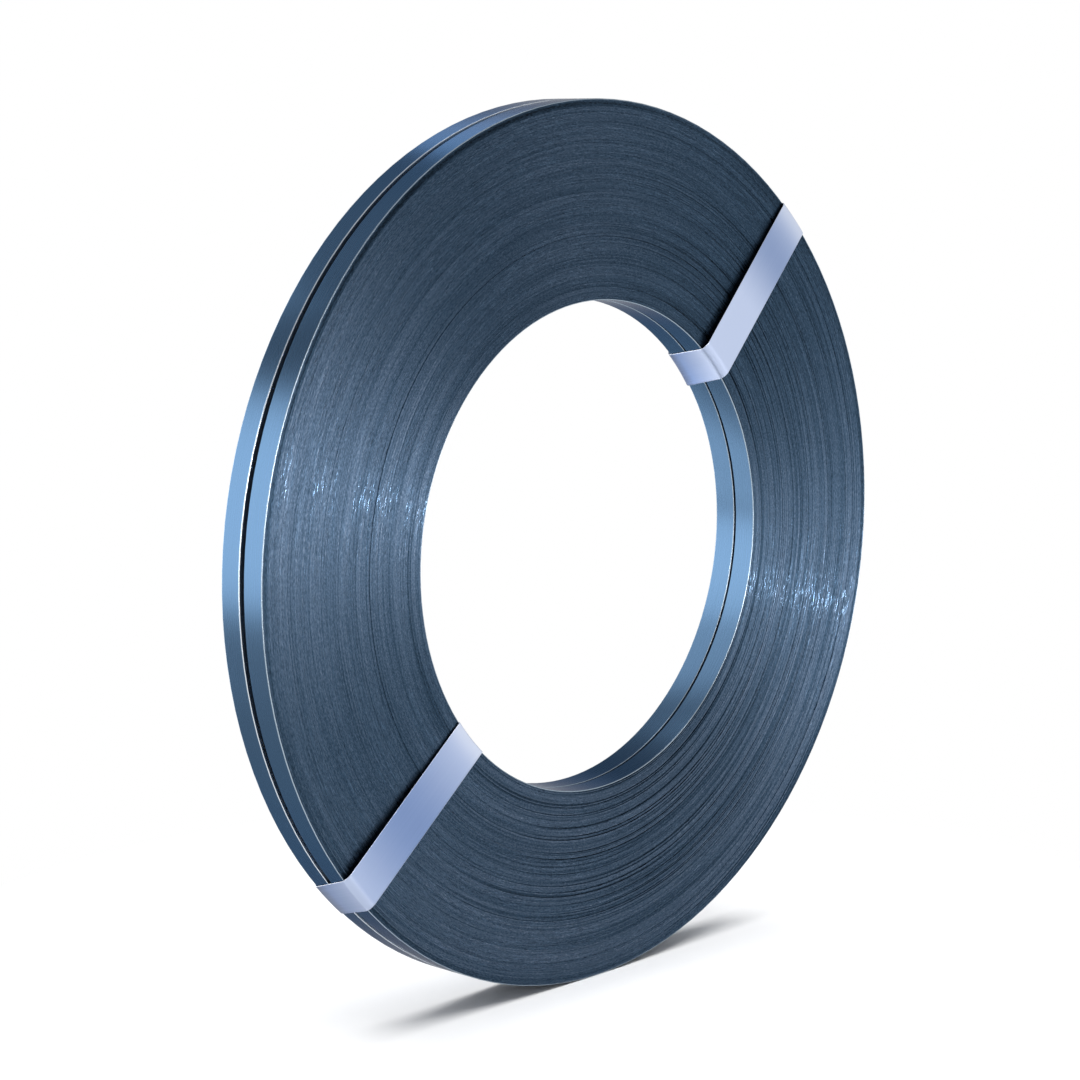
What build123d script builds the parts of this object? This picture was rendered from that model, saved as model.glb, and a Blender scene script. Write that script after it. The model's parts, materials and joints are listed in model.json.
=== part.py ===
"""Roll of steel strapping: two ribbon-wound coils side by side, bound by two tie straps.

Millimetres. The roll stands on its rim on the floor at Z = 0, with the origin under the middle of
its width. Its axis lies along Y and its front end faces -Y. Angles round the roll run from +X
towards +Z, as seen from the front.
"""

import os
from math import cos, radians, sin, sqrt

from build123d import *

# Strap in the coils
strap_width = 20.0
strap_thickness = 0.9
bore_radius = 203.0

# Slot between the two coils at the rim
rim_slot = 5.0

# Groups of turns that have slipped together along the axis, from the bore outwards: number of
# turns, how far the front coil's group is set back, and how far the back coil's group stands off
# the plane where the two coils bear on each other. Both distances are shares of the rim slot.
turn_groups = [
    (60, 0.00, 0.22),
    (66, 0.18, 0.00),
    (34, 0.10, 0.36),
    (20, 0.00, 0.82),
]

# Tie straps
tie_width = 38.0
tie_thickness = 0.6
tie_bend_radius = 7.0
tie_lap_length = 60.0
tie_clearance = 0.2

# Where each tie crosses the front end, how far it leans from the radius there, and how far its loop
# slants as it runs back across the rim and the bore, because it was drawn tight a little askew
upper_tie_angle = 46.0
upper_tie_lean = 2.0
upper_tie_slant = -15.0
lower_tie_angle = -139.0
lower_tie_lean = -1.5
lower_tie_slant = 24.0

# Wedge of the roll from which a tie is trimmed, ample for its width and slant
tie_wedge = 60.0

# The winding, worked out from the strap, in distances from the axis and from the front end
outer_radius = bore_radius + strap_thickness * sum(turns for turns, back, off in turn_groups)
front_starts = [back * rim_slot for turns, back, off in turn_groups]
contact_plane = max(front_starts) + strap_width
back_starts = [contact_plane + off * rim_slot for turns, back, off in turn_groups]

# A tie lies close on the rim and in the bore. Its bends clear the coils' sharp corners, so its
# spans over the two ends stand off by the distance at which a corner meets the inside of a bend.
tie_inner = bore_radius - tie_clearance
tie_outer = outer_radius + tie_clearance
bend_reach = tie_bend_radius - tie_clearance
stand_off = tie_bend_radius - sqrt(tie_bend_radius**2 - bend_reach**2) + tie_clearance
tie_front = min(front_starts) - stand_off
tie_rim_back = back_starts[-1] + strap_width + stand_off
tie_bore_back = back_starts[0] + strap_width + stand_off
tie_middle = (tie_inner + tie_outer) / 2

roll_centre = (0, -(tie_front + tie_rim_back) / 2, outer_radius)
roll_axis = Axis(roll_centre, (0, -1, 0))


def section_plane(angle):
    """Plane through the roll's axis: local X runs outwards at the angle, local Y along the axis."""
    a = radians(angle)
    return Plane(roll_centre, x_dir=(cos(a), 0, sin(a)), z_dir=(-sin(a), 0, cos(a)))


def tie_edge(angle, lean, slant, side):
    """Plane of a tie's long edge on one side: along its leaning front span, and slanted as it runs back."""
    a = radians(angle + lean)
    middle = section_plane(angle).from_local_coords((tie_middle, tie_front, 0))
    span = Plane(middle, x_dir=(cos(a), 0, sin(a)), z_dir=(-sin(a), 0, cos(a)))
    return span.rotated((slant, 0, 0)).offset(side * cos(radians(slant)) * tie_width / 2)


def coil_outline(starts):
    """Corners of a coil's section: one strap-wide step for each group of turns."""
    front, back, radius = [], [], bore_radius
    for (turns, _, _), start in zip(turn_groups, starts):
        edge = radius + turns * strap_thickness
        front += [(radius, start), (edge, start)]
        back += [(radius, start + strap_width), (edge, start + strap_width)]
        radius = edge
    return front + back[::-1]


# Front coil: a turned solid with its bore, its groups of turns showing on both ends
with BuildPart() as front_coil:
    with BuildSketch(section_plane(0)):
        with BuildLine():
            Polyline(*coil_outline(front_starts), close=True)
        make_face()
    revolve(axis=roll_axis)

# Back coil: bears on the front one over its middle turns and stands off it towards the rim
with BuildPart() as back_coil:
    with BuildSketch(section_plane(0)):
        with BuildLine():
            Polyline(*coil_outline(back_starts), close=True)
        make_face()
    revolve(axis=roll_axis)

# Inside of a tie's loop round the section of both coils
with BuildSketch() as tie_inside:
    with BuildLine():
        FilletPolyline(
            (tie_inner, tie_front),
            (tie_outer, tie_front),
            (tie_outer, tie_rim_back),
            (tie_inner, tie_bore_back),
            radius=tie_bend_radius,
            close=True,
        )
    make_face()

# Lap of the tie's two ends, two layers thick at the middle of the back span
with BuildSketch() as tie_lap:
    add(tie_inside.sketch)
    offset(amount=2 * tie_thickness)
    with Locations((tie_middle, tie_rim_back)):
        Rectangle(tie_lap_length, strap_width, mode=Mode.INTERSECT)

with BuildSketch() as tie_section:
    add(tie_inside.sketch)
    offset(amount=tie_thickness)
    add(tie_lap.sketch)
    add(tie_inside.sketch, mode=Mode.SUBTRACT)

# Upper tie: turned so that it hugs the rim and the bore, then trimmed to the strap's width
with BuildPart() as upper_tie:
    with BuildSketch(section_plane(upper_tie_angle - tie_wedge / 2)):
        add(tie_section.sketch)
    revolve(axis=roll_axis, revolution_arc=tie_wedge)
    split(bisect_by=tie_edge(upper_tie_angle, upper_tie_lean, upper_tie_slant, 1), keep=Keep.BOTTOM)
    split(bisect_by=tie_edge(upper_tie_angle, upper_tie_lean, upper_tie_slant, -1), keep=Keep.TOP)

# Lower tie: the same strap on the other side of the roll
with BuildPart() as lower_tie:
    with BuildSketch(section_plane(lower_tie_angle - tie_wedge / 2)):
        add(tie_section.sketch)
    revolve(axis=roll_axis, revolution_arc=tie_wedge)
    split(bisect_by=tie_edge(lower_tie_angle, lower_tie_lean, lower_tie_slant, 1), keep=Keep.BOTTOM)
    split(bisect_by=tie_edge(lower_tie_angle, lower_tie_lean, lower_tie_slant, -1), keep=Keep.TOP)

front_coil.part.label = "front_coil"
back_coil.part.label = "back_coil"
upper_tie.part.label = "upper_tie"
lower_tie.part.label = "lower_tie"

os.makedirs("parts", exist_ok=True)
export_step(front_coil.part, "parts/front_coil.step")
export_step(back_coil.part, "parts/back_coil.step")
export_step(upper_tie.part, "parts/upper_tie.step")
export_step(lower_tie.part, "parts/lower_tie.step")
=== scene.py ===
import json

import bpy
import numpy as np
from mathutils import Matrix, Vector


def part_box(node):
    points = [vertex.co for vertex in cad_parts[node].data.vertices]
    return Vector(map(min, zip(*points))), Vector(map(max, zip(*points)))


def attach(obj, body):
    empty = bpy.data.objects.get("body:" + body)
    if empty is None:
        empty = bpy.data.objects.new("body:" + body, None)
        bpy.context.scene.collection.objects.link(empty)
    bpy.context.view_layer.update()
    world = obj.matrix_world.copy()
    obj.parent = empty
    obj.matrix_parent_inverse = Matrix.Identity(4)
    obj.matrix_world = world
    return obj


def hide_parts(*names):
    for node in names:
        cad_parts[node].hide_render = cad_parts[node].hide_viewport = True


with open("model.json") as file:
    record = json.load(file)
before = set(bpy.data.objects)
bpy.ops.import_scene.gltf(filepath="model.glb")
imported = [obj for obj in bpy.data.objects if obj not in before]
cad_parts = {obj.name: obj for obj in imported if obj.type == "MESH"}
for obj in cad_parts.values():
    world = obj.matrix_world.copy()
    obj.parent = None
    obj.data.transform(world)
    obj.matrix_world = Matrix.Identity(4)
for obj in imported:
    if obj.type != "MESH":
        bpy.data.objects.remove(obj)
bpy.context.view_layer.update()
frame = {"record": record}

# Front and back coils. Each is one length of blued steel strap wound on itself like a ribbon, so its
# ends are the slit edges of many turns, and its rim and bore are the flat of a single turn. The turns
# are held by their own tension and slip a little along the axis, so the ends are finely stepped.
CORE_BORE = frame["record"]["mounts"][0]
BORE_RADIUS = CORE_BORE["dims"]["r_mm"] / 1000
RIM_RADIUS = CORE_BORE["pos_m"][2]
ROLL_CENTRE = np.array([0.0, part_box("front_coil")[0].y, RIM_RADIUS])
STRAP_WIDTH = 0.020
TURNS_IN_GROUP = np.array([60, 66, 34, 20])
FRONT_GROUP_START = np.array([0.0, 0.9, 0.5, 0.0]) / 1000
BACK_GROUP_START = np.array([22.0, 20.9, 22.7, 25.0]) / 1000
TURN_COUNT = int(TURNS_IN_GROUP.sum())
STRAP_THICKNESS = (RIM_RADIUS - BORE_RADIUS) / TURN_COUNT
COIL_STEPS = 128
COIL_ANGLES = np.linspace(0, 2 * np.pi, COIL_STEPS, endpoint=False)
SLIPPED_SHARE = 0.27
SLIP_DEPTH = (0.35e-3, 1.1e-3)
LIFTED_TURNS = (TURN_COUNT - 9, TURN_COUNT - 6)
LIFT_HEIGHT = 1.3e-3
EDGE_GROOVE = 0.22e-3
EDGE_EASE = 0.45e-3
UNWORN_AND_SHADED_DEPTH = 0.55e-3
PAINTED_HIGHLIGHT_SPILL = 0.6


def slow_waves(rng, orders, reach):
    """Random field over turns and angle, of mean nought and spread one. Each turn is a sum of cosines of
    the angle with random strengths and phases, averaged with its neighbours by a bell of the reach."""
    order = np.arange(orders)
    strength = rng.normal(size=(TURN_COUNT, orders)) / np.sqrt(1 + order)
    phase = rng.uniform(0, 2 * np.pi, (TURN_COUNT, orders))
    waves = np.einsum("to,toa->ta", strength, np.cos(order[:, None] * COIL_ANGLES + phase[:, :, None]))
    turn = np.arange(TURN_COUNT)
    bell = np.exp(-0.5 * ((turn[:, None] - turn) / reach) ** 2)
    field = bell / bell.sum(1, keepdims=True) @ waves
    return (field - field.mean()) / field.std()


def angle_window(middle, spread):
    """Bell over the angle round the roll, one at the middle and falling off over the spread, in degrees."""
    apart = np.angle(np.exp(1j * (COIL_ANGLES - np.radians(middle))))
    return np.exp(-((apart / np.radians(spread)) ** 2))


def turn_sinkage(rng):
    """How far each turn's edge lies behind its group's place, over turns and angle. It is a slow drift
    shared by neighbours, a small play of each turn, and gaps where about one turn in four has slipped
    back. The gaps are deep where the winding is slack: at the right-hand side, more so near the bore.
    The turns under the outermost one also lie back, most of all at the upper left, and two of them stick
    out at the lower tie."""
    turn = np.arange(TURN_COUNT)[:, None]
    drift = 0.025e-3 * slow_waves(rng, 5, 2.0)
    play = 0.04e-3 * (1 + 2.0 * angle_window(-45, 70)) * slow_waves(rng, 9, 0.4)
    near_bore = 0.35 + 0.65 / (1 + np.exp((turn - 110) / 14))
    slack = 0.10 + np.maximum(0.65 * angle_window(-62, 45), 0.55 * angle_window(42, 26))
    has_slipped = rng.random((TURN_COUNT, 1)) < SLIPPED_SHARE
    slipped = has_slipped * rng.uniform(*SLIP_DEPTH, (TURN_COUNT, 1))
    gaps = slack * near_bore * slipped * np.clip(0.7 + 0.6 * slow_waves(rng, 6, 0.4), 0, 1.5)
    lie_back = 0.2e-3 * (1 + 2.0 * angle_window(120, 35))
    under_rim = np.exp(-(((turn - TURN_COUNT + 4.5) / 2.2) ** 2))
    depth = drift + play + gaps + lie_back * under_rim
    return np.where(np.isin(turn, LIFTED_TURNS), depth - LIFT_HEIGHT * angle_window(-137, 9), depth)


def end_rows(rng, starts, side):
    """Worn end of a coil, as radius, axial place and a level of wear and painted shade for each row and
    angle.
    Each turn has four rows: two at its flat edge and one in the groove on either hand. The level is one
    on a proud edge, which is lighter where it is burnished, and falls to nought in a groove or on a turn
    that has slipped back, which is painted shade in the recesses. It is also lower in three sectors round
    the end, which is painted shade."""
    sinkage = turn_sinkage(rng)
    place = np.repeat(starts, TURNS_IN_GROUP)[:, None] + side * sinkage
    inner = BORE_RADIUS + STRAP_THICKNESS * np.arange(TURN_COUNT)[:, None]
    share = np.array([0.07, 0.27, 0.73, 0.93])
    groove = EDGE_GROOVE * np.array([1.0, 0.0, 0.0, 1.0])
    radius = np.repeat((inner + STRAP_THICKNESS * share).ravel()[:, None], COIL_STEPS, 1)
    axial = place[:, None, :] + side * groove[:, None]
    # Proud edges are lighter with wear; the fall to nought in grooves and on sunk turns is painted shade.
    wear = np.clip(1 - (sinkage[:, None, :] + 1.2 * groove[:, None] + 0.05e-3) / UNWORN_AND_SHADED_DEPTH, 0, 1)
    # Painted shade: the end is darker in three sectors round the roll.
    painted_shade_sectors = 0.42 * angle_window(48, 38) + 0.22 * angle_window(-153, 22) + 0.2 * angle_window(122, 20)
    wear = wear * (1 - painted_shade_sectors)
    return radius, axial.reshape(radius.shape), wear.reshape(radius.shape)


def plain_rows(starts):
    """End of a coil inside the slot, as radius, axial place and wear: a flat ring for each group."""
    edges = BORE_RADIUS + STRAP_THICKNESS * np.concatenate([[0], np.cumsum(TURNS_IN_GROUP)])
    rings = np.stack([edges[:-1], edges[1:]], 1).ravel()
    radius = np.repeat(rings[:, None], COIL_STEPS, 1)
    return radius, np.repeat(np.repeat(starts, 2)[:, None], COIL_STEPS, 1), np.zeros_like(radius)


def flat_rows(corner_radius, inside, start, end, edge_highlight_levels):
    """Flat of an outermost or innermost turn, as radius, axial place and painted highlight: a quarter-round
    edge, the strap's width from start to end, and the other quarter-round edge. The painted highlight is
    how pale each edge is painted, and above one it goes on a little way over the flat."""
    turn = np.radians([0, 30, 60, 90])
    across = np.array([0.035, 0.065, 0.3, 0.5, 0.7, 0.935, 0.965])
    run = np.sign(end - start) * EDGE_EASE
    rise = EDGE_EASE * (np.concatenate([np.sin(turn), np.ones(len(across)), np.cos(turn)]) - 1)
    radius = corner_radius + rise * (-1 if inside else 1)
    axial = np.concatenate([start + run * (1 - np.cos(turn)), start + across * (end - start),
                            end - run * (1 - np.sin(turn))])
    # Painted highlight: above one, the pale edge runs on over the flat.
    spill = PAINTED_HIGHLIGHT_SPILL * (np.array(edge_highlight_levels) > 1)
    over_flat = np.concatenate([spill[:1], np.zeros(len(across) - 2), spill[1:]])
    near_edge, far_edge = (np.full(len(turn), painted_highlight) for painted_highlight in edge_highlight_levels)
    wear = np.concatenate([near_edge, over_flat, far_edge])
    return tuple(np.repeat(row[:, None], COIL_STEPS, 1) for row in (radius, axial, wear))


def ring_faces(rows, columns):
    """Quads of a grid that closes on itself both ways, with the UV of each corner: U runs once round
    the columns and V once round the rows."""
    r, c = np.meshgrid(np.arange(rows), np.arange(columns), indexing="ij")
    after_r, after_c = (r + 1) % rows, (c + 1) % columns
    quads = np.stack([r * columns + c, r * columns + after_c, after_r * columns + after_c,
                      after_r * columns + c], -1)
    u = np.stack([c, c + 1, c + 1, c], -1) / columns
    v = np.stack([r, r, r + 1, r + 1], -1) / rows
    return quads.reshape(-1, 4), np.stack([u, v], -1).reshape(-1, 2)


def mesh_piece(name, points, quads, uvs, smooth_below):
    """Object at the origin from arrays of points, quads and corner UVs. Edges that turn by less than
    smooth_below, in degrees, are smooth."""
    mesh = bpy.data.meshes.new(name)
    mesh.vertices.add(len(points))
    mesh.vertices.foreach_set("co", points.astype(np.float32).ravel())
    mesh.loops.add(quads.size)
    mesh.loops.foreach_set("vertex_index", quads.astype(np.int32).ravel())
    mesh.polygons.add(len(quads))
    mesh.polygons.foreach_set("loop_start", np.arange(0, quads.size, 4, dtype=np.int32))
    mesh.uv_layers.new(name="UVMap")
    mesh.uv_layers[0].data.foreach_set("uv", uvs.astype(np.float32).ravel())
    mesh.update(calc_edges=True)
    mesh.shade_smooth()
    mesh.set_sharp_from_angle(angle=np.radians(smooth_below))
    piece = bpy.data.objects.new(name, mesh)
    bpy.context.scene.collection.objects.link(piece)
    return piece


def point_attribute(piece, name, values):
    """Stores one number for each point of a piece, for its material to read."""
    attribute = piece.data.attributes.new(name, "FLOAT", "POINT")
    attribute.data.foreach_set("value", values.astype(np.float32).ravel())


def wind_coil(name, seed, starts, worn_front):
    """Coil as a section carried round the roll's axis: outwards over its front end, across the rim,
    inwards over its back end and across the bore. One end shows and is worn, the other is plain. The
    eased edges of the flats take the place of the outermost rows of each end."""
    rng = np.random.default_rng(seed)
    ends = starts + STRAP_WIDTH
    front = end_rows(rng, starts, 1) if worn_front else plain_rows(starts)
    back = plain_rows(ends) if worn_front else end_rows(rng, ends, -1)
    # Painted highlight levels for the edges of the rim's and bore's flats.
    front_edge_highlight, back_edge_highlight = (1.0, 0.0) if worn_front else (2.0, 1.0)
    rim = flat_rows(RIM_RADIUS, False, starts[-1], ends[-1], (front_edge_highlight, back_edge_highlight))
    bore = flat_rows(BORE_RADIUS, True, ends[0], starts[0], (back_edge_highlight, 1.0))
    trim = {True: slice(2, -2), False: slice(1, -1)}
    strips = [[rows[trim[worn_front]] for rows in front], rim,
              [rows[::-1][trim[not worn_front]] for rows in back], bore]
    radius, axial, wear = (np.concatenate(rows) for rows in zip(*strips))
    points = ROLL_CENTRE + np.stack([radius * np.cos(COIL_ANGLES), axial, radius * np.sin(COIL_ANGLES)], -1)
    quads, uvs = ring_faces(*radius.shape)
    piece = mesh_piece(name, points.reshape(-1, 3), quads, uvs, smooth_below=50)
    point_attribute(piece, "wear", wear)
    is_flat = np.repeat([0, 1, 0, 1], [len(strip[0]) for strip in strips])
    is_flat = np.maximum(is_flat, np.roll(is_flat, -1))
    piece.data.polygons.foreach_set("material_index", np.repeat(is_flat, COIL_STEPS))
    return piece


def new_material(name):
    """Empty node material, its shader, and two helpers that add a node and join two sockets."""
    material = bpy.data.materials.new(name)
    material.use_nodes = True
    tree = material.node_tree

    def add(kind, inputs=(), **settings):
        node = tree.nodes.new(kind)
        for key, value in settings.items():
            setattr(node, key, value)
        for socket, value in dict(inputs).items():
            if isinstance(value, bpy.types.NodeSocket):
                tree.links.new(value, node.inputs[socket])
            else:
                node.inputs[socket].default_value = value
        return node

    return material, tree.nodes["Principled BSDF"], add, tree.links.new


def colour_ramp(add, source, stops):
    """Colour ramp over the source, with (position, colour) stops."""
    ramp = add("ShaderNodeValToRGB", {"Fac": source})
    while len(ramp.color_ramp.elements) < len(stops):
        ramp.color_ramp.elements.new(1.0)
    for element, (position, colour) in zip(ramp.color_ramp.elements, stops):
        element.position, element.color = position, (*colour, 1)
    return ramp.outputs["Color"]


def roll_place(add):
    """Axial place, distance from the roll's axis and outward direction of a point, from Object space."""
    place = add("ShaderNodeTexCoord").outputs["Object"]
    centred = add("ShaderNodeVectorMath", {0: place, 1: ROLL_CENTRE}, operation="SUBTRACT").outputs[0]
    flat = add("ShaderNodeVectorMath", {0: centred, 1: (1, 0, 1)}, operation="MULTIPLY").outputs[0]
    radius = add("ShaderNodeVectorMath", {0: flat}, operation="LENGTH").outputs["Value"]
    outward = add("ShaderNodeVectorMath", {0: flat}, operation="NORMALIZE").outputs[0]
    return add("ShaderNodeSeparateXYZ", {0: centred}).outputs["Y"], radius, outward


def worked(add, operation, first, second):
    """First and second numbers taken through one sum, such as MULTIPLY or MAXIMUM."""
    return add("ShaderNodeMath", {0: first, 1: second}, operation=operation).outputs[0]


def streaks(add, lead, outward, lead_per_metre, per_radian, detail):
    """Noise with features of the given number per metre along the lead and per radian round the roll."""
    fine = worked(add, "MULTIPLY", lead, lead_per_metre)
    lift = add("ShaderNodeCombineXYZ", {"Y": fine}).outputs[0]
    round_scale = (per_radian, 0, per_radian)
    place = add("ShaderNodeVectorMath", {0: outward, 1: round_scale, 2: lift}, operation="MULTIPLY_ADD")
    noise = add("ShaderNodeTexNoise", {"Vector": place.outputs[0], "Scale": 1.0, "Detail": detail})
    return noise.outputs["Fac"]


def scaled(add, source, low, high, to_low, to_high):
    """Source taken from one range to another, held at the ends."""
    node = add("ShaderNodeMapRange", {"Value": source, "From Min": low, "From Max": high,
                                      "To Min": to_low, "To Max": to_high})
    return node.outputs["Result"]


def blended(add, first, second, share):
    """First and second numbers mixed, with the share of the second."""
    node = add("ShaderNodeMix", {"Factor": share, "A": first, "B": second})
    return node.outputs["Result"]


def coloured(add, first, second, share):
    """First colour mixed with the second, with the share of the second. Inputs 6 and 7 and output 2 are
    the node's colours."""
    node = add("ShaderNodeMix", {6: first, 7: (*second, 1), "Factor": share}, data_type="RGBA")
    return node.outputs[2]


# Wound ends: slit edges, blued with the strap, lighter where they stand proud and are burnished, and
# darker in the grooves, on sunk turns and in three sectors round the roll, which is painted shade
wound, shader, add, join = new_material("wound_strap_edges")
_, radius, outward = roll_place(add)
wear = add("ShaderNodeAttribute", attribute_name="wear").outputs["Fac"]
grain = streaks(add, radius, outward, 1300, 130, 2)
turn_tone = streaks(add, radius, outward, 900, 3, 1)
# The wear level lightens proud edges; its darkening of grooves, sunk turns and three sectors is painted
# shade.
tone = blended(add, blended(add, grain, turn_tone, 0.30), wear, 0.38)
blued = colour_ramp(add, tone, [(0.25, (0.007, 0.014, 0.024)), (0.52, (0.045, 0.086, 0.142)),
                                (0.72, (0.114, 0.167, 0.246)), (0.85, (0.245, 0.304, 0.398))])
join(blued, shader.inputs["Base Color"])
dull = scaled(add, grain, 0.40, 0.70, 0.68, 0.52)
dashes = scaled(add, streaks(add, radius, outward, 1900, 30, 1), 0.53, 0.61, 0.0, 1.0)
in_bands = scaled(add, streaks(add, radius, outward, 70, 2.0, 1), 0.40, 0.50, 0.0, 1.0)
rubbed = worked(add, "MULTIPLY", dashes, in_bands)
join(blended(add, dull, 0.20, rubbed), shader.inputs["Roughness"])
bump = add("ShaderNodeBump", {"Height": grain, "Strength": 0.12, "Distance": 0.0006})
join(bump.outputs["Normal"], shader.inputs["Normal"])
join(add("ShaderNodeTangent", direction_type="UV_MAP", uv_map="UVMap").outputs[0], shader.inputs["Tangent"])
shader.inputs["Metallic"].default_value = 1.0
shader.inputs["Anisotropic"].default_value = 0.79
shader.inputs["Anisotropic Rotation"].default_value = 0.25

# Strap flats: the blued face of the outermost and innermost turn, with a painted highlight along its slit
# edges
flat, shader, add, join = new_material("blued_strap_flat")
axial, _, outward = roll_place(add)
wear = add("ShaderNodeAttribute", attribute_name="wear").outputs["Fac"]
line = streaks(add, axial, outward, 1500, 4, 2)
blued = colour_ramp(add, line, [(0.3, (0.052, 0.096, 0.157)), (0.7, (0.054, 0.098, 0.161))])
# Painted highlight along the flats' slit edges, brightest where the level is above one.
painted_highlight = coloured(add, blued, (0.36, 0.44, 0.52), wear)
brightest_edge_highlight = scaled(add, wear, 1.0, 2.0, 0.0, 1.0)
join(coloured(add, painted_highlight, (0.76, 0.81, 0.86), brightest_edge_highlight), shader.inputs["Base Color"])
join(scaled(add, line, 0.3, 0.7, 0.278, 0.268), shader.inputs["Roughness"])
shader.inputs["Metallic"].default_value = 1.0
shader.inputs["Specular Tint"].default_value = (0.42, 0.44, 0.51, 1)

for name, seed, starts, worn_front, node in (
    ("front_coil_turns", 11, FRONT_GROUP_START, True, "front_coil"),
    ("back_coil_turns", 23, BACK_GROUP_START, False, "back_coil"),
):
    coil = wind_coil(name, seed, starts, worn_front)
    coil.data.materials.append(wound)
    coil.data.materials.append(flat)
    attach(coil, "root")
    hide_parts(node)

# Upper and lower ties. Each is one pale steel strap looped round the section of both coils, drawn
# tight on the rim and in the bore a little askew and bent over the coils' corners. Its ends are lapped
# and spot welded on the back span.
TIE_WIDTH = 0.038
TIE_THICKNESS = 0.0006
TIE_LOOSE_BEND = 0.007
TIE_TIGHT_BEND = 0.003
TIE_SHARP_BEND = 0.0015
TIE_CLEARANCE = 0.0002
TIE_LAP = 0.060
TIE_MIDDLE = (BORE_RADIUS + RIM_RADIUS) / 2
TIE_RUN_POINTS = (40, 10, 130, 10)
TIE_BEND_POINTS = 14
TIE_FLAT_POINTS = 34
TIE_EDGE_POINTS = 7
LAP_STEP = 0.0008
WELD_PLACES = ((-0.012, -0.009), (-0.012, 0.009), (0.012, -0.009), (0.012, 0.009))
WELD_RADIUS = 0.0024
WELD_DEPTH = 0.00035
BEND_HIGHLIGHT_REACH = 0.012


def tie_loop(bore_bend, rim_bend):
    """Inside line of a tie's loop in the section plane, as distance from the axis and axial place, with
    its outward normal: four straight runs joined by bends, taken outwards over the front, across the
    rim, inwards over the back and across the bore. A bend stands off the coil so far that the coil's
    corner just clears its inside. The back has close points for its lap and welds."""
    inner, outer = BORE_RADIUS - TIE_CLEARANCE, RIM_RADIUS + TIE_CLEARANCE
    bend = np.array([bore_bend, rim_bend, TIE_LOOSE_BEND, TIE_LOOSE_BEND])
    stand_off = bend - np.sqrt(bend**2 - (bend - TIE_CLEARANCE) ** 2) + TIE_CLEARANCE
    axial = np.concatenate([FRONT_GROUP_START[[0, -1]] - stand_off[:2],
                            BACK_GROUP_START[[-1, 0]] + STRAP_WIDTH + stand_off[2:]])
    corners = np.stack([[inner, outer, outer, inner], axial], 1)
    runs = np.roll(corners, -1, 0) - corners
    along = runs / np.linalg.norm(runs, axis=1, keepdims=True)
    out = np.stack([along[:, 1], -along[:, 0]], 1)
    cosine = np.sum(along * np.roll(along, -1, 0), 1)
    trim = np.roll(bend, -1) * np.sqrt((1 - cosine) / (1 + cosine))
    line, normal = [], []
    for k, count in enumerate(TIE_RUN_POINTS):
        after = (k + 1) % 4
        share = np.linspace(0, 1, count)[:, None]
        start, end = corners[k] + along[k] * trim[k - 1], corners[after] - along[k] * trim[k]
        line.append(start + share * (end - start))
        normal.append(np.repeat(out[k:k + 1], count, 0))
        turn = np.linspace(0, np.pi / 2, TIE_BEND_POINTS)[1:-1, None]
        fan = out[k] * np.cos(turn) + out[after] * np.sin(turn)
        fan = fan / np.linalg.norm(fan, axis=1, keepdims=True)
        line.append(end - out[k] * bend[after] + fan * bend[after])
        normal.append(fan)
    return np.concatenate(line), np.concatenate(normal)


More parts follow.
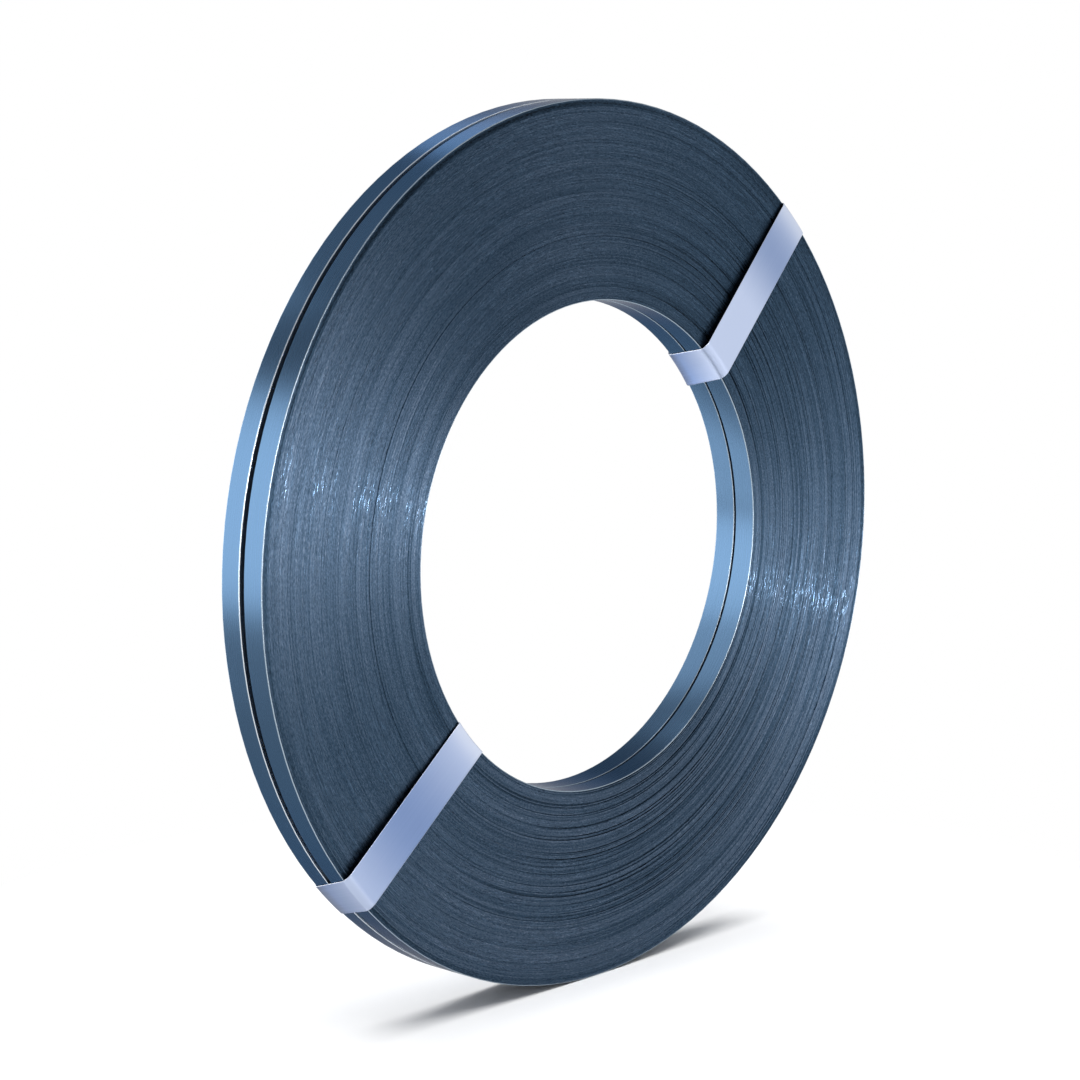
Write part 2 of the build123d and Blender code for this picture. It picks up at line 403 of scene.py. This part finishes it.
def bend_tie(name, angle, lean, slant, bends, painted_shade_dip):
    """Tie as a thin flat section with rounded edges carried along its loop. A point's place across the
    width is measured from the strap's middle line, which leans from the radius over the ends and slants
    as it runs back. Its distance from the roll's axis comes from the loop, so it hugs the rim and bore.
    Its painted light level dips along the span, given as place, reach and depth, which is painted shade;
    it falls as the strap runs back across the rim and the bore, which is painted shade; and it is pale
    over a bend, which is a painted highlight. Its long edges, and in part the front span near a tight
    bend, carry a painted highlight."""
    line, normal = tie_loop(*bends)
    half, edge = TIE_WIDTH / 2, TIE_THICKNESS / 2
    flat_run = np.linspace(-1, 1, TIE_FLAT_POINTS) * (half - edge)
    round_run = np.linspace(0, np.pi, TIE_EDGE_POINTS)[1:-1]
    side = np.concatenate([flat_run, half - edge + edge * np.sin(round_run),
                           -flat_run, edge - half - edge * np.sin(round_run)])
    height = np.concatenate([np.ones(TIE_FLAT_POINTS), 0.5 + 0.5 * np.cos(round_run),
                             np.zeros(TIE_FLAT_POINTS), 0.5 - 0.5 * np.cos(round_run)])
    on_back = normal[:, 1] > 0.99
    lap = np.clip((TIE_LAP / 2 - np.abs(line[:, 0] - TIE_MIDDLE)) / LAP_STEP + 0.5, 0, 1) * on_back
    lift = TIE_THICKNESS * (1 + lap)[:, None] * height
    welds = np.zeros_like(lift)
    for weld_along, weld_side in WELD_PLACES:
        apart = np.hypot(line[:, :1] - TIE_MIDDLE - weld_along, side - weld_side)
        welds += np.exp(-((apart / WELD_RADIUS) ** 4))
    lift = lift - WELD_DEPTH * welds * (lap[:, None] > 0.5) * (height > 0.9)
    distance = line[:, :1] + lift * normal[:, :1]
    axial = line[:, 1:] + lift * normal[:, 1:]
    at, along = np.radians(angle), np.radians(angle + lean)
    start = TIE_MIDDLE * np.array([np.cos(at), np.sin(at)])
    outward, over = np.array([np.cos(along), np.sin(along)]), np.array([-np.sin(along), np.cos(along)])
    sideways = side + np.tan(np.radians(slant)) * (axial - line[:, 1].min())
    ahead = np.sqrt(distance**2 - (sideways + start @ over) ** 2) - start @ outward
    flat_place = start + ahead[..., None] * outward + sideways[..., None] * over
    points = ROLL_CENTRE + np.stack([flat_place[..., 0], axial, flat_place[..., 1]], -1)
    quads, uvs = ring_faces(*distance.shape)
    corner_uvs = uvs.reshape(-1, 4, 2)[:, ::-1].reshape(-1, 2)
    piece = mesh_piece(name, points.reshape(-1, 3), quads[:, ::-1], corner_uvs, smooth_below=40)
    # Painted highlights: the long edges, and the front span near a tight bend.
    painted_highlight = (np.abs(side) > half - 0.9 * edge) * np.ones_like(distance)
    for bend, bend_place in zip(bends, (BORE_RADIUS, RIM_RADIUS)):
        if bend < TIE_LOOSE_BEND:
            near_bend = np.exp(-(((distance - bend_place) / BEND_HIGHLIGHT_REACH) ** 2))
            painted_highlight = np.maximum(painted_highlight, 0.5 * near_bend * (normal[:, 1:] < -0.5))
    point_attribute(piece, "wear", painted_highlight)
    dip_place, dip_reach, dip_depth = painted_shade_dip
    # Painted shade: the dip along the span, and the darkening as the strap runs back across the rim and the
    # bore.
    tint = 1 - dip_depth * np.exp(-(((distance - dip_place) / dip_reach) ** 2))
    run_back = np.clip(axial / (BACK_GROUP_START[-1] + STRAP_WIDTH), 0, 1)
    tint = tint * (1 - 1.1 * np.abs(normal[:, :1]) * run_back**0.7)
    # Painted highlight over the bends at the front.
    painted_bend_highlight = (2 * normal[:, :1] * np.minimum(normal[:, 1:], 0)) ** 2
    point_attribute(piece, "tint", tint + 0.8 * painted_bend_highlight)
    return piece


tie_steel, shader, add, join = new_material("pale_tie_steel")
uv = add("ShaderNodeUVMap", uv_map="UVMap").outputs["UV"]
wear = add("ShaderNodeAttribute", attribute_name="wear").outputs["Fac"]
drawn = add("ShaderNodeVectorMath", {0: uv, 1: (170, 6, 1)}, operation="MULTIPLY").outputs[0]
line = add("ShaderNodeTexNoise", {"Vector": drawn, "Scale": 1.0, "Detail": 3.0}).outputs["Fac"]
# The tie's colour follows its painted light level: painted shade and painted highlights.
tint = blended(add, add("ShaderNodeAttribute", attribute_name="tint").outputs["Fac"], line, 0.10)
pale = colour_ramp(add, tint, [(0.0, (0.085, 0.118, 0.205)), (0.15, (0.18, 0.26, 0.46)),
                               (0.85, (0.50, 0.58, 0.77))])
# Painted highlights on the long edges and near a tight bend.
join(coloured(add, pale, (0.72, 0.76, 0.84), wear), shader.inputs["Base Color"])
join(scaled(add, line, 0.3, 0.7, 0.395, 0.365), shader.inputs["Roughness"])
shader.inputs["Metallic"].default_value = 1.0

# The last entry of each tie is its painted shade dip along the span: place, reach and depth.
for name, node, angle, lean, slant, bends, painted_shade_dip in (
    ("upper_tie_strap", "upper_tie", 46.0, 2.0, -15.0,
     (TIE_LOOSE_BEND, TIE_TIGHT_BEND), (0.322, 0.040, 0.72)),
    ("lower_tie_strap", "lower_tie", -139.0, -1.5, 24.0,
     (TIE_SHARP_BEND, TIE_LOOSE_BEND), (0.291, 0.080, 0.89)),
):
    tie = bend_tie(name, angle, lean, slant, bends, painted_shade_dip)
    tie.data.materials.append(tie_steel)
    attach(tie, "root")
    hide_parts(node)

# Floor and backdrop. One round sheet of white card: flat under the roll, and swept up into a low wall
# all the way round it. Near the roll it takes the light and the shadow, and is a little paler to the
# camera than to other rays. Far off it is plain white.
CARD_RADIUS = 3.6
CARD_BEND = 0.8
CARD_HEIGHT = 1.7
CARD_DROP = 0.0003
CARD_STEPS = 96
CARD_BEND_POINTS = 13
FLOOR_RINGS = [0.001, 0.5, 1.5]
GREY_TO_OTHER_RAYS, GREY_TO_CAMERA = 0.66, 0.86
WHITE_FROM, WHITE_BEYOND = 0.20, 0.60


def card_sweep():
    """Sheet as a profile carried round the Z axis: out along the floor, up a quarter bend, up the wall."""
    bend = np.linspace(0, np.pi / 2, CARD_BEND_POINTS)
    out = np.concatenate([FLOOR_RINGS, CARD_RADIUS - CARD_BEND * (1 - np.sin(bend)), [CARD_RADIUS]])
    up = np.concatenate([np.zeros(len(FLOOR_RINGS)), CARD_BEND * (1 - np.cos(bend)), [CARD_HEIGHT]])
    angle = np.linspace(0, 2 * np.pi, CARD_STEPS, endpoint=False)
    height = np.repeat(up[:, None], CARD_STEPS, 1) - CARD_DROP
    points = np.stack([out[:, None] * np.cos(angle), out[:, None] * np.sin(angle), height], -1)
    quads, uvs = ring_faces(*height.shape)
    open_sheet = slice(0, (len(out) - 1) * CARD_STEPS)
    return mesh_piece("floor_card", points.reshape(-1, 3), quads[open_sheet][:, ::-1],
                      uvs.reshape(-1, 4, 2)[open_sheet].reshape(-1, 2), smooth_below=60)


card = card_sweep()
paper, shader, add, join = new_material("white_card")
shader.inputs["Specular IOR Level"].default_value = 0.0
shader.inputs["Roughness"].default_value = 0.9
place = add("ShaderNodeTexCoord").outputs["Object"]
away = add("ShaderNodeVectorMath", {0: place}, operation="LENGTH").outputs["Value"]
ray = add("ShaderNodeLightPath").outputs
grey = scaled(add, ray["Is Camera Ray"], 0.0, 1.0, GREY_TO_OTHER_RAYS, GREY_TO_CAMERA)
join(grey, shader.inputs["Base Color"])
seen = worked(add, "MAXIMUM", ray["Is Camera Ray"], ray["Is Glossy Ray"])
seen = worked(add, "MAXIMUM", seen, ray["Is Transmission Ray"])
far = scaled(add, away, WHITE_FROM, WHITE_BEYOND, 0.0, 1.0)
share = worked(add, "MULTIPLY", seen, far)
white = add("ShaderNodeEmission", {"Color": (1, 1, 1, 1), "Strength": 1.0}).outputs[0]
mixed = add("ShaderNodeMixShader", {0: share, 1: shader.outputs[0], 2: white}).outputs[0]
join(mixed, paper.node_tree.nodes["Material Output"].inputs["Surface"])
card.data.materials.append(paper)

# Studio light. A wide soft box overhead lights the floor. The other boxes show in the metal: a small
# far one by the camera, a wide one in front, and weaker ones at the left, high up, behind the roll and
# low on the floor, which its rim and bore mirror. The room round them is plain grey.
ROOM_GREY = (0.43, 0.44, 0.46, 1)
WARM_WHITE = (1.0, 0.95, 0.93)
PLAIN_WHITE = (1.0, 1.0, 1.0)

world = bpy.data.worlds.new("grey_room")
world.use_nodes = True
world.node_tree.nodes["Background"].inputs["Color"].default_value = ROOM_GREY
bpy.context.scene.world = world


def soft_box(name, place, width, height, radiance, colour, lights):
    """Area light that faces the roll's centre. Its power is its radiance times its area times pi. It
    lights the floor or shows in the metal."""
    light = bpy.data.lights.new(name, "AREA")
    light.shape = "RECTANGLE"
    light.size, light.size_y = width, height
    light.energy = radiance * np.pi * width * height
    light.color = colour
    lamp = bpy.data.objects.new(name, light)
    lamp.location = place
    aim = ROLL_CENTRE - np.array(place)
    tilt = np.arctan2(np.hypot(aim[0], aim[1]), -aim[2])
    lamp.rotation_euler = (tilt, 0, np.arctan2(aim[1], aim[0]) - np.pi / 2)
    lamp.visible_camera = False
    lamp.visible_diffuse = lights == "floor"
    lamp.visible_glossy = lights == "metal"
    bpy.context.scene.collection.objects.link(lamp)


soft_box("box_overhead", (0.0, -0.1, 2.7), 3.6, 3.0, 4.3, PLAIN_WHITE, "floor")
soft_box("box_by_camera", (-2.42, -2.38, 1.115), 0.245, 0.245, 165.0, WARM_WHITE, "metal")
soft_box("box_in_front", (0.0, -2.40, 0.46), 1.2, 0.8, 12.0, WARM_WHITE, "metal")
soft_box("box_left", (-1.20, 1.16, 0.60), 0.9, 1.13, 4.0, PLAIN_WHITE, "metal")
soft_box("box_high", (-0.05, 1.36, 2.10), 1.3, 0.9, 0.45, PLAIN_WHITE, "metal")
soft_box("box_behind", (0.23, 0.455, 1.075), 0.27, 0.18, 3.6, PLAIN_WHITE, "metal")
soft_box("box_low", (-0.09, 0.47, 0.06), 0.5, 0.14, 2.9, PLAIN_WHITE, "metal")
soft_box("box_low_left", (-0.48, 0.70, 0.06), 0.4, 0.14, 3.2, PLAIN_WHITE, "metal")
soft_box("box_through_bore", (-0.23, 0.60, 0.80), 0.5, 0.3, 2.5, PLAIN_WHITE, "metal")

# Camera. A long lens some way off at the roll's left, about as high as its top and looking a little down.
# Its place, lens and turn are fitted to the edges of the faces, the rim and the bore.
LOOK_DOWN = 8.5187
TURN_RIGHT = 46.6506

camera = bpy.data.objects.new("camera", bpy.data.cameras.new("camera"))
camera.data.sensor_width = 36
camera.data.lens = 92.423
camera.location = (-1.67431, -1.53752, 0.70898)
camera.rotation_euler = (np.radians(90 - LOOK_DOWN), 0, np.radians(-TURN_RIGHT))
bpy.context.scene.collection.objects.link(camera)
bpy.context.scene.camera = camera
bpy.context.scene.view_settings.view_transform = "Standard"
